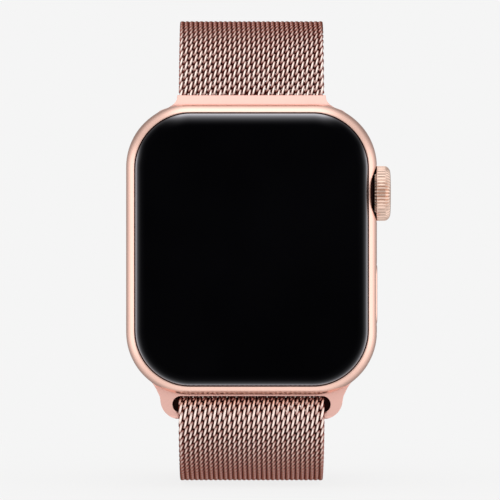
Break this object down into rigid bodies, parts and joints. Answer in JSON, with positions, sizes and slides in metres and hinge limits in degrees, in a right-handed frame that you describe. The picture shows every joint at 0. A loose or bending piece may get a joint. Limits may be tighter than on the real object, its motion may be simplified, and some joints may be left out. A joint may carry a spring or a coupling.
{
  "type": "smartwatch",
  "caption": "Rounded rectangular wrist computer with a black glass face, knurled side crown, side button and a woven wire loop band that folds back through a slotted lug.",
  "frame": {"origin": "centre of the flat apex of the rear sensor crystal, where the watch rests on its charger", "axes": "+X towards the crown side, +Y out of the back towards the wrist, +Z towards twelve o'clock; the screen faces -Y"},
  "size_m": [0.0401, 0.0562, 0.0716],
  "materials": {
    "case_alloy": "fine satin, rose gold",
    "button_alloy": "satin, rose gold",
    "crown_alloy": "satin with knurled rim, rose gold",
    "lug_steel": "satin coated, rose gold",
    "woven_wire": "woven stainless wire, rose gold coating",
    "front_glass": "black glossy cover glass, screen off",
    "display": "black laminated panel",
    "black_seal": "matte elastomer",
    "flex": "polyimide film",
    "board": "solder mask",
    "cell_foil": "laminated foil",
    "bright_steel": "stainless",
    "dense_mass": "tungsten alloy",
    "black_module": "moulded black polymer",
    "rear_ceramic": "polished black ceramic",
    "rear_crystal": "polished dark sapphire",
    "coil_copper": "enamelled copper wire",
    "magnet": "nickel plated magnet"
  },
  "bodies": {
    "case": {"case_body": "case_alloy", "front_glass": "front_glass", "display_gasket": "black_seal", "display_panel": "display", "display_flex": "flex", "rear_cover": "rear_ceramic", "rear_gasket": "black_seal", "sensor_crystal": "rear_crystal", "electrode_ring": "bright_steel", "sensor_board": "board", "charging_coil": "coil_copper", "coil_shield": "bright_steel", "logic_board": "board", "battery": "cell_foil", "haptic_housing": "bright_steel", "haptic_spring_left": "bright_steel", "haptic_spring_right": "bright_steel", "speaker_module": "black_module", "speaker_grille": "bright_steel", "microphone": "bright_steel", "haptic_screw_1": "bright_steel", "haptic_screw_2": "bright_steel", "crown_bushing": "bright_steel", "crown_seal": "black_seal", "crown_encoder": "board", "crown_switch": "black_module", "crown_bracket": "bright_steel", "side_button_seal": "black_seal", "side_button_switch": "black_module", "side_button_bracket": "bright_steel"},
    "crown_carrier": {"crown_yoke": "bright_steel"},
    "crown": {"crown_cap": "crown_alloy", "crown_shaft": "bright_steel", "crown_encoder_drum": "black_module"},
    "side_key": {"side_button": "button_alloy", "side_button_clip": "bright_steel"},
    "release_upper": {"release_button_upper": "button_alloy"},
    "release_lower": {"release_button_lower": "button_alloy"},
    "haptic_slider": {"haptic_mass": "dense_mass"},
    "band": {"upper_lug": "lug_steel", "lower_lug": "lug_steel", "lug_catch_spring_upper": "bright_steel", "lug_catch_spring_lower": "bright_steel", "strap_loop": "woven_wire", "strap_fold": "woven_wire"},
    "catch_upper": {"lug_catch_upper": "bright_steel"},
    "catch_lower": {"lug_catch_lower": "bright_steel"},
    "tail_1": {"strap_tail_1": "woven_wire"},
    "tail_2": {"strap_tail_2": "woven_wire"},
    "tail_3": {"strap_tail_3": "woven_wire"},
    "tail_4": {"strap_tail_4": "woven_wire", "clasp_shell": "lug_steel", "clasp_magnet": "magnet", "clasp_backplate": "lug_steel"}
  },
  "joints": [
    {"name": "crown_press", "type": "slide", "parent": "case", "child": "crown_carrier", "axis": [-1, 0, 0], "range_m": [0, 0.0003], "stiffness_N_per_m": 3000},
    {"name": "crown_spin", "type": "hinge", "parent": "crown_carrier", "child": "crown", "pos_m": [0.0184, -0.0059, 0.0085], "axis": [1, 0, 0], "continuous": true},
    {"name": "side_button_press", "type": "slide", "parent": "case", "child": "side_key", "axis": [-1, 0, 0], "range_m": [0, 0.00025], "stiffness_N_per_m": 4000},
    {"name": "release_press_upper", "type": "slide", "parent": "case", "child": "release_upper", "axis": [0, -1, 0], "range_m": [0, 0.0007], "stiffness_N_per_m": 800},
    {"name": "release_press_lower", "type": "slide", "parent": "case", "child": "release_lower", "axis": [0, -1, 0], "range_m": [0, 0.0007], "stiffness_N_per_m": 800},
    {"name": "band_slide", "type": "slide", "parent": "case", "child": "band", "axis": [1, 0, 0], "range_m": [-0.032, 0.032], "deforming": ["lug_catch_upper", "lug_catch_lower"]},
    {"name": "catch_slide_upper", "type": "slide", "parent": "band", "child": "catch_upper", "axis": [0, 0, 1], "range_m": [0, 0.0007], "deforming": ["lug_catch_spring_upper"]},
    {"name": "catch_slide_lower", "type": "slide", "parent": "band", "child": "catch_lower", "axis": [0, 0, -1], "range_m": [0, 0.0007], "deforming": ["lug_catch_spring_lower"]},
    {"name": "haptic_slide", "type": "slide", "parent": "case", "child": "haptic_slider", "axis": [1, 0, 0], "range_m": [-0.0003, 0.0003], "stiffness_N_per_m": 1500, "deforming": ["haptic_spring_left", "haptic_spring_right"]},
    {"name": "tail_peel", "type": "hinge", "parent": "band", "child": "tail_1", "pos_m": [0, -0.0052, -0.02505], "axis": [1, 0, 0], "range_deg": [-100, 0], "deforming": ["strap_fold"]},
    {"name": "tail_bend_2", "type": "hinge", "parent": "tail_1", "child": "tail_2", "pos_m": [0, 0.00462, -0.03353], "axis": [1, 0, 0], "range_deg": [-25, 0]},
    {"name": "tail_bend_3", "type": "hinge", "parent": "tail_2", "child": "tail_3", "pos_m": [0, 0.01638, -0.03539], "axis": [1, 0, 0], "range_deg": [-22, 0]},
    {"name": "tail_bend_4", "type": "hinge", "parent": "tail_3", "child": "tail_4", "pos_m": [0, 0.02785, -0.03217], "axis": [1, 0, 0], "range_deg": [-22, 0]}
  ],
  "couplings": [
    {"joint": "catch_slide_upper", "follows": "release_press_upper", "ratio": 1},
    {"joint": "catch_slide_lower", "follows": "release_press_lower", "ratio": 1},
    {"joint": "tail_bend_2", "follows": "tail_peel", "ratio": 0.25},
    {"joint": "tail_bend_3", "follows": "tail_peel", "ratio": 0.22},
    {"joint": "tail_bend_4", "follows": "tail_peel", "ratio": 0.22}
  ]
}
